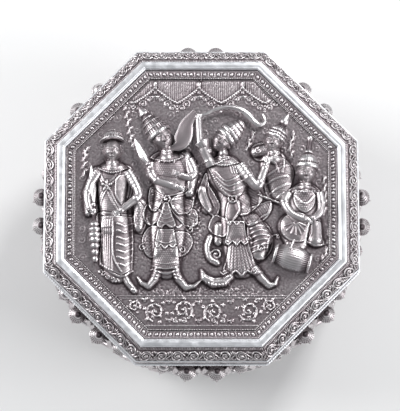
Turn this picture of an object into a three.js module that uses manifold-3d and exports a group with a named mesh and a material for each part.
// Octagonal lidded box of chased sheet silver with high-relief figures, in millimetres, +Z up.
// The origin is on the resting plane, below the centre of the box. The front faces -Y.

import * as THREE from "three";
import { mergeVertices } from "three/addons/utils/BufferGeometryUtils.js";
import Module from "manifold-3d";

const wasm = await Module();
wasm.setup();

// Driving dimensions. An apothem is the distance from the box's axis to a flat of its octagon.
const SIDES = 8;
const SIDE_ANGLE = (2 * Math.PI) / SIDES;
const RIM_APOTHEM = 100;
const SHEET = 1.2;
const SOLDER_GAP = 0.05;

// Levels, from the resting plane up.
const FOOT_TOP = 14;
const FLOOR_TOP = FOOT_TOP + SHEET;
const WALL_BOTTOM = 22;
const WALL_TOP = 90;
const SHOULDER_TOP = 96;
const NECK_TOP = 104;
const RIM_LEVEL = 109;
const SCENE_LEVEL = 115.7;
const PEARL_LEVEL = 117;
const MOULDING_LEVEL = 118.5;

// Apothems of the walls and of the lid's frames, from the outside in.
const WALL_APOTHEM = 94;
const WALL_INNER = WALL_APOTHEM - SHEET;
const NECK_APOTHEM = 97.6;
const SKIRT_APOTHEM = 99.4;
const RIM_INNER = 99;
const SCROLL_INNER = 91.3;
const MOULDING_INNER = 86;
const WIRE_APOTHEM = 80.8;
const SCENE_APOTHEM = 79.9;

// The colonnettes stand where the walls meet, and the wall plates end against them.
const POST_RADIUS = 2.8;
const POST_APOTHEM = WALL_APOTHEM - SHEET / 2;
const POST_SEGMENTS = 8;
const HALF_SIDE = Math.tan(SIDE_ANGLE / 2);
const PANEL_HALF_WIDTH = POST_APOTHEM * HALF_SIDE - POST_RADIUS - 0.1;

const BOSS_SEGMENTS = 8;
const BOSS_RINGS = 6;
const MERGE_TOLERANCE = 1e-4;

const chasedSilver = new THREE.MeshStandardMaterial({ color: 0x8e8588, roughness: 0.42, metalness: 1 });
const polishedSilver = new THREE.MeshStandardMaterial({ color: 0xd4d4dc, roughness: 0.22, metalness: 1 });
const plainSilver = new THREE.MeshStandardMaterial({ color: 0xa8a2a4, roughness: 0.35, metalness: 1 });

const box = new THREE.Group();
const lid = new THREE.Group();

function addPiece(group, name, geometry, material) {
  const mesh = new THREE.Mesh(geometry, material);
  mesh.name = name;
  group.add(mesh);
  return mesh;
}

function toSolid(geometry) {
  const loose = geometry.index ? geometry.toNonIndexed() : geometry;
  const bare = new THREE.BufferGeometry().setAttribute("position", loose.getAttribute("position"));
  const merged = mergeVertices(bare, MERGE_TOLERANCE);
  return new wasm.Manifold(
    new wasm.Mesh({
      numProp: 3,
      vertProperties: merged.attributes.position.array,
      triVerts: new Uint32Array(merged.index.array),
    }),
  );
}

function toGeometry(solid) {
  const mesh = solid.getMesh();
  return new THREE.BufferGeometry()
    .setAttribute("position", new THREE.BufferAttribute(new Float32Array(mesh.vertProperties), 3))
    .setIndex(new THREE.BufferAttribute(new Uint32Array(mesh.triVerts), 1));
}

// An octagonal ring whose section is a closed list of [apothem, level] points, counter-clockwise.
function octagonRing(section) {
  const points = [...section, section[0]].map(
    ([apothem, level]) => new THREE.Vector2(apothem / Math.cos(SIDE_ANGLE / 2), level),
  );
  return new THREE.LatheGeometry(points, SIDES, SIDE_ANGLE / 2).rotateX(Math.PI / 2);
}

// An octagonal plate between two levels.
function octagonPlate(apothem, bottom, top) {
  const radius = apothem / Math.cos(SIDE_ANGLE / 2);
  return new THREE.CylinderGeometry(radius, radius, top - bottom, SIDES, 1, false, SIDE_ANGLE / 2)
    .rotateX(Math.PI / 2)
    .translate(0, 0, (bottom + top) / 2);
}

// A domed boss: an ellipsoid of the given half sizes, turned in the picture's plane and moved into place.
function boss([halfX, halfY, halfZ], place, turn = 0) {
  return new THREE.SphereGeometry(1, BOSS_SEGMENTS, BOSS_RINGS)
    .scale(halfX, halfY, halfZ)
    .rotateZ(turn)
    .translate(...place);
}

// The foot is a splayed band of sheet, open underneath.
function addFoot() {
  const section = [
    [91.2, 0],
    [92.8, 0],
    [92.8, 2.6],
    [91.4, 4.2],
    [90.4, 9],
    [93, FOOT_TOP - SOLDER_GAP],
    [90.8, FOOT_TOP - SOLDER_GAP],
    [89, 9],
    [90, 4],
    [91.2, 2],
  ];
  addPiece(box, "foot_ring", octagonRing(section), chasedSilver);
}

// The base moulding carries the walls. The floor plate is set inside it.
function addBase() {
  const inner = WALL_INNER - 0.8;
  const section = [
    [inner, FOOT_TOP],
    [93.2, FOOT_TOP],
    [94.8, 15.6],
    [95, 17.6],
    [94.2, 19.6],
    [94.8, WALL_BOTTOM - SOLDER_GAP],
    [inner, WALL_BOTTOM - SOLDER_GAP],
  ];
  addPiece(box, "base_moulding", octagonRing(section), chasedSilver);
  const floor = octagonPlate(inner - SOLDER_GAP, FOOT_TOP, FLOOR_TOP);
  addPiece(box, "floor_plate", floor, plainSilver);
}

// Each wall is one chased sheet with four figures standing out of it, the middle two furthest.
const SIDE_FIGURES = [
  { along: -25, head: 78, reach: 8 },
  { along: -9.5, head: 82, reach: 15.8 },
  { along: 9.5, head: 82, reach: 15.8 },
  { along: 25, head: 78, reach: 8 },
];
const HEAD_RADIUS = 4.6;
const FIGURE_MIDDLE = 55;
const FIGURE_HALF_HEIGHT = 31;
const FIGURE_HALF_WIDTH = 8.4;

function sidePanel() {
  const plate = new THREE.BoxGeometry(2 * PANEL_HALF_WIDTH, SHEET, WALL_TOP - WALL_BOTTOM).translate(
    0,
    -(WALL_APOTHEM - SHEET / 2),
    (WALL_TOP + WALL_BOTTOM) / 2,
  );
  const shapes = [plate];
  for (const { along, head, reach } of SIDE_FIGURES) {
    const bodyReach = reach * 0.82;
    const outside = -(WALL_APOTHEM - SHEET / 2);
    shapes.push(boss([FIGURE_HALF_WIDTH, bodyReach, FIGURE_HALF_HEIGHT], [along, outside, FIGURE_MIDDLE]));
    shapes.push(boss([HEAD_RADIUS, HEAD_RADIUS, HEAD_RADIUS + 1.6], [along, outside - reach + HEAD_RADIUS, head]));
  }
  // Bosses may not break through the inner face of the sheet.
  const cutter = new THREE.BoxGeometry(4 * PANEL_HALF_WIDTH, 60, 2 * WALL_TOP).translate(
    0,
    -WALL_INNER + 30,
    WALL_TOP,
  );
  const whole = shapes.map(toSolid).reduce((sum, next) => sum.add(next));
  return toGeometry(whole.subtract(toSolid(cutter)));
}

// A turned colonnette with a stepped base and capital.
function colonnette() {
  const bottom = WALL_BOTTOM;
  const top = WALL_TOP - SOLDER_GAP;
  const profile = [
    [0, bottom],
    [POST_RADIUS, bottom],
    [POST_RADIUS, bottom + 4],
    [2.1, bottom + 6],
    [2.5, bottom + 12],
    [2.5, top - 12],
    [2.1, top - 6],
    [POST_RADIUS, top - 4],
    [POST_RADIUS, top],
    [0, top],
  ].map(([radius, level]) => new THREE.Vector2(radius, level));
  return new THREE.LatheGeometry(profile, POST_SEGMENTS).rotateX(Math.PI / 2);
}

function addWalls() {
  const places = ["front", "front_right", "right", "back_right", "back", "back_left", "left", "front_left"];
  places.forEach((place, index) => {
    const side = new THREE.Group();
    side.rotation.z = index * SIDE_ANGLE;
    box.add(side);
    addPiece(side, `side_panel_${place}`, sidePanel(), chasedSilver);
    const post = addPiece(side, `corner_post_${index + 1}`, colonnette(), chasedSilver);
    post.position.set(POST_APOTHEM * HALF_SIDE, -POST_APOTHEM, 0);
  });
}

// The shoulder ties the walls together at the top, carries the lid and holds the neck that guides it.
function addShoulderAndNeck() {
  const shoulder = [
    [WALL_INNER, WALL_TOP],
    [95.4, WALL_TOP],
    [96.2, 92.4],
    [98.6, 93.6],
    [100.6, 94.4],
    [100.8, SHOULDER_TOP - 0.6],
    [100.2, SHOULDER_TOP],
    [WALL_INNER, SHOULDER_TOP],
  ];
  addPiece(box, "shoulder_moulding", octagonRing(shoulder), plainSilver);
  const neck = [
    [NECK_APOTHEM - SHEET, SHOULDER_TOP + SOLDER_GAP],
    [NECK_APOTHEM, SHOULDER_TOP + SOLDER_GAP],
    [NECK_APOTHEM, NECK_TOP - 0.6],
    [NECK_APOTHEM - 0.6, NECK_TOP],
    [NECK_APOTHEM - SHEET, NECK_TOP],
  ];
  addPiece(box, "neck_collar", octagonRing(neck), plainSilver);
}

// The lid's skirt slides over the neck. Its foot moulding rests on the shoulder.
function addSkirt() {
  const inner = NECK_APOTHEM + 0.35;
  const mouldingBottom = SHOULDER_TOP + SOLDER_GAP;
  const mouldingTop = mouldingBottom + 2.2;
  const moulding = [
    [inner, mouldingBottom],
    [100.6, mouldingBottom],
    [101, mouldingBottom + 0.5],
    [101, mouldingTop - 0.6],
    [100.4, mouldingTop],
    [inner, mouldingTop],
  ];
  addPiece(lid, "skirt_foot_moulding", octagonRing(moulding), polishedSilver);
  const skirt = [
    [inner, mouldingTop + SOLDER_GAP],
    [SKIRT_APOTHEM + 0.4, mouldingTop + SOLDER_GAP],
    [SKIRT_APOTHEM, mouldingTop + 2],
    [SKIRT_APOTHEM, RIM_LEVEL - 1],
    [inner, RIM_LEVEL - 1],
  ];
  addPiece(lid, "lid_skirt", octagonRing(skirt), chasedSilver);
}

// The lid's top is a stack of octagonal frames, each soldered inside the one before.
function addLidFrames() {
  const rim = [
    [RIM_INNER, RIM_LEVEL - 1 + SOLDER_GAP],
    [RIM_APOTHEM - 0.4, RIM_LEVEL - 1 + SOLDER_GAP],
    [RIM_APOTHEM, RIM_LEVEL - 0.4],
    [RIM_APOTHEM, RIM_LEVEL + 0.1],
    [RIM_APOTHEM - 0.5, RIM_LEVEL + 0.5],
    [RIM_INNER, RIM_LEVEL + 0.5],
  ];
  addPiece(lid, "rim_wire", octagonRing(rim), polishedSilver);
  const slopeTop = 115.6;
  const scroll = [
    [SCROLL_INNER, slopeTop - SHEET],
    [97.9, RIM_LEVEL - 0.9],
    [RIM_INNER - SOLDER_GAP, RIM_LEVEL - 0.9],
    [RIM_INNER - SOLDER_GAP, RIM_LEVEL + 0.4],
    [98, RIM_LEVEL + 1.7],
    [94.6, RIM_LEVEL + 5],
    [SCROLL_INNER, slopeTop],
  ];
  addPiece(lid, "scroll_border", octagonRing(scroll), chasedSilver);
  const mouldingOuter = SCROLL_INNER - SOLDER_GAP;
  const moulding = [
    [MOULDING_INNER, SCENE_LEVEL - SHEET],
    [mouldingOuter, SCENE_LEVEL - SHEET],
    [mouldingOuter, MOULDING_LEVEL - 0.5],
    [mouldingOuter - 0.5, MOULDING_LEVEL],
    [MOULDING_INNER + 1.3, MOULDING_LEVEL],
    [MOULDING_INNER, MOULDING_LEVEL - 0.9],
  ];
  addPiece(lid, "polished_moulding", octagonRing(moulding), polishedSilver);
  const pearlOuter = MOULDING_INNER - SOLDER_GAP;
  const pearl = [
    [WIRE_APOTHEM, SCENE_LEVEL - SHEET],
    [pearlOuter, SCENE_LEVEL - SHEET],
    [pearlOuter, PEARL_LEVEL],
    [WIRE_APOTHEM, PEARL_LEVEL],
  ];
  addPiece(lid, "pearl_border", octagonRing(pearl), chasedSilver);
  const wireOuter = WIRE_APOTHEM - SOLDER_GAP;
  const wire = [
    [SCENE_APOTHEM + SOLDER_GAP, SCENE_LEVEL - SHEET],
    [wireOuter, SCENE_LEVEL - SHEET],
    [wireOuter, PEARL_LEVEL + 0.3],
    [SCENE_APOTHEM + SOLDER_GAP, PEARL_LEVEL + 0.3],
  ];
  addPiece(lid, "milled_wire", octagonRing(wire), polishedSilver);
}

// The five figures of the lid's scene as plain bosses: [x, y] of head, chest and skirt on the plate.
const SCENE_FIGURES = {
  guard: { head: [-75 + 5, 42], chest: [-73 + 5, 20], skirt: [-70 + 6, -18], lean: 0 },
  prince: { head: [-25, 46], chest: [-20, 22], skirt: [-26, -18], lean: -0.1 },
  dancer: { head: [18, 42], chest: [22, 16], skirt: [27, -20], lean: 0.35 },
  attendant: { head: [47, 42], chest: [49, 21], skirt: [45, 6], lean: 0 },
  drummer: { head: [69, 20], chest: [67, 3], skirt: [60, -22], lean: 0.2 },
};
const HEAD_REACH = 8.4;
const CHEST_REACH = 6.4;
const SKIRT_REACH = 5.4;

function addScenePlate() {
  const shapes = [octagonPlate(SCENE_APOTHEM, SCENE_LEVEL - SHEET, SCENE_LEVEL)];
  const foot = SCENE_LEVEL - SHEET / 2;
  const inset = 0.93;
  for (const { head, chest, skirt, lean } of Object.values(SCENE_FIGURES)) {
    const place = ([x, y]) => [x * inset, y, foot];
    shapes.push(boss([5, 6.5, HEAD_REACH], place(head)));
    shapes.push(boss([8.5, 16, CHEST_REACH], place(chest), lean));
    shapes.push(boss([9.5, 24, SKIRT_REACH], place(skirt), lean));
  }
  // The figures stay within the plate's outline and above its underside.
  const space = octagonPlate(SCENE_APOTHEM, SCENE_LEVEL - SHEET, SCENE_LEVEL + 2 * HEAD_REACH);
  const whole = shapes.map(toSolid).reduce((sum, next) => sum.add(next));
  addPiece(lid, "scene_plate", toGeometry(whole.intersect(toSolid(space))), chasedSilver);
}

addFoot();
addBase();
addWalls();
addShoulderAndNeck();
addSkirt();
addLidFrames();
addScenePlate();

const liddedBox = new THREE.Group();
liddedBox.add(box, lid);

export default liddedBox;
